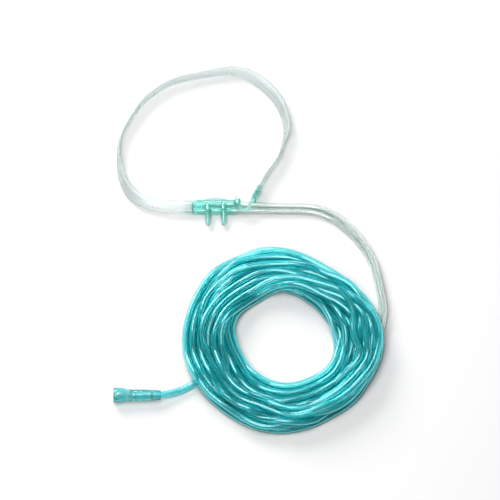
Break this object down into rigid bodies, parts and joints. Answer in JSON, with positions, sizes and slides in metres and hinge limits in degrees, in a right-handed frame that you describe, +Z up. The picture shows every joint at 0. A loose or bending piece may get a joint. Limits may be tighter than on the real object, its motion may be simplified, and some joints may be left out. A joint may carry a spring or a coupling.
{
  "type": "nasal oxygen cannula",
  "caption": "Soft PVC nasal oxygen cannula: pronged nosepiece on a flat head strap loop, thin branch tubes, a coil of supply tube and a flared push-on connector.",
  "frame": {"origin": "on the surface that the part lies on, under the middle of the box round the nosepiece, head strap and strap adjuster", "axes": "+Z up from the surface, +X from the nosepiece's closed end to its tube sockets, +Y from the prongs' tips towards the head strap's loop"},
  "size_m": [0.2402, 0.3544, 0.02],
  "materials": {
    "clear_pvc": "clear soft PVC with a faint green tint, glossy",
    "tinted_pvc": "moulded translucent sea-green PVC, satin",
    "tube_pvc": "extruded translucent sea-green PVC, glossy"
  },
  "bodies": {
    "root": {"nosepiece": "tinted_pvc", "head_strap": "clear_pvc", "strap_adjuster": "tinted_pvc", "branch_tube_upper": "clear_pvc", "branch_tube_lower": "clear_pvc", "y_fitting": "tinted_pvc", "supply_coil": "tube_pvc", "supply_tube_end": "tube_pvc", "supply_connector": "tinted_pvc"}
  },
  "joints": []
}
